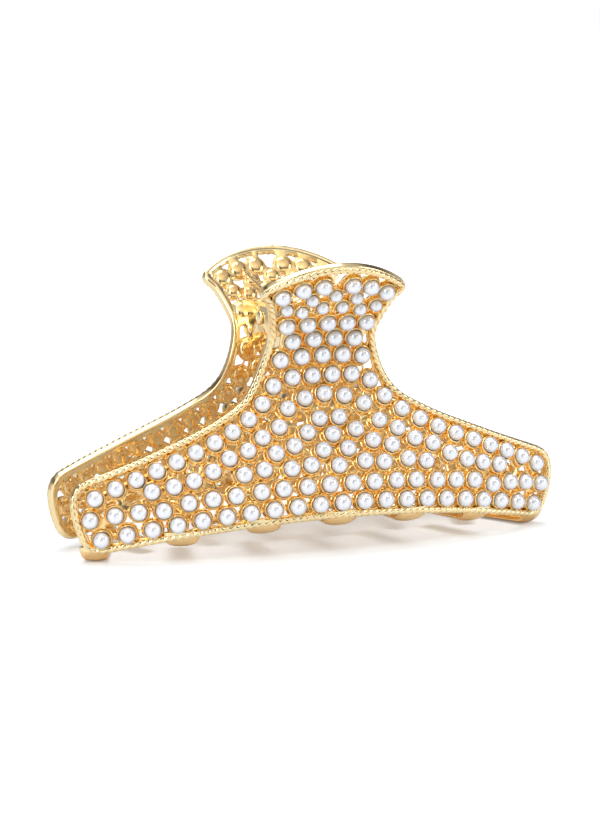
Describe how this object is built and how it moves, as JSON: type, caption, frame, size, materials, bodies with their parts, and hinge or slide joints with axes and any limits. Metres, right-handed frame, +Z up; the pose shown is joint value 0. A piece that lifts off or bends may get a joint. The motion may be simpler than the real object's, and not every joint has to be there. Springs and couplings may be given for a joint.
{
  "type": "claw hair clip",
  "caption": "Claw hair clip: two openwork gold-coloured metal jaws set with pearls, hinged on a sprung pin, with finger handles above and interlocking teeth below.",
  "frame": {"origin": "middle of the footprint, on the plane the end teeth rest on", "axes": "+X along the clip, -Y towards the front jaw, +Z up through the finger handles; the hinge pin lies along X at z = 41 mm"},
  "size_m": [0.0952, 0.0406, 0.0516],
  "materials": {
    "gold_casting": "polished gold plate",
    "gold_pin": "polished gold plate",
    "spring_wire": "gold-plated spring wire",
    "pearl": "pearl lustre"
  },
  "bodies": {
    "front_jaw_body": {"front_jaw": "gold_casting", "hinge_pin": "gold_pin", "torsion_spring": "spring_wire", "front_pearls_bottom_row": "pearl", "front_pearls_second_row": "pearl", "front_pearls_right_edge": "pearl", "front_pearls_left_edge": "pearl", "front_pearls_right_arm": "pearl", "front_pearls_left_arm": "pearl", "front_pearls_crown": "pearl", "front_pearls_waist": "pearl", "front_pearls_handle_large": "pearl", "front_pearls_handle_small": "pearl"},
    "rear_jaw_body": {"rear_jaw": "gold_casting", "rear_pearls_bottom_row": "pearl", "rear_pearls_second_row": "pearl", "rear_pearls_right_edge": "pearl", "rear_pearls_left_edge": "pearl", "rear_pearls_right_arm": "pearl", "rear_pearls_left_arm": "pearl", "rear_pearls_crown": "pearl", "rear_pearls_waist": "pearl", "rear_pearls_handle_large": "pearl", "rear_pearls_handle_small": "pearl"}
  },
  "joints": [
    {"name": "jaw_opening", "type": "hinge", "parent": "front_jaw_body", "child": "rear_jaw_body", "pos_m": [0, 0, 0.041], "axis": [1, 0, 0], "range_deg": [0, 60], "stiffness_Nm_per_rad": 0.05, "springref_deg": -34.38, "deforming": ["torsion_spring"]}
  ]
}
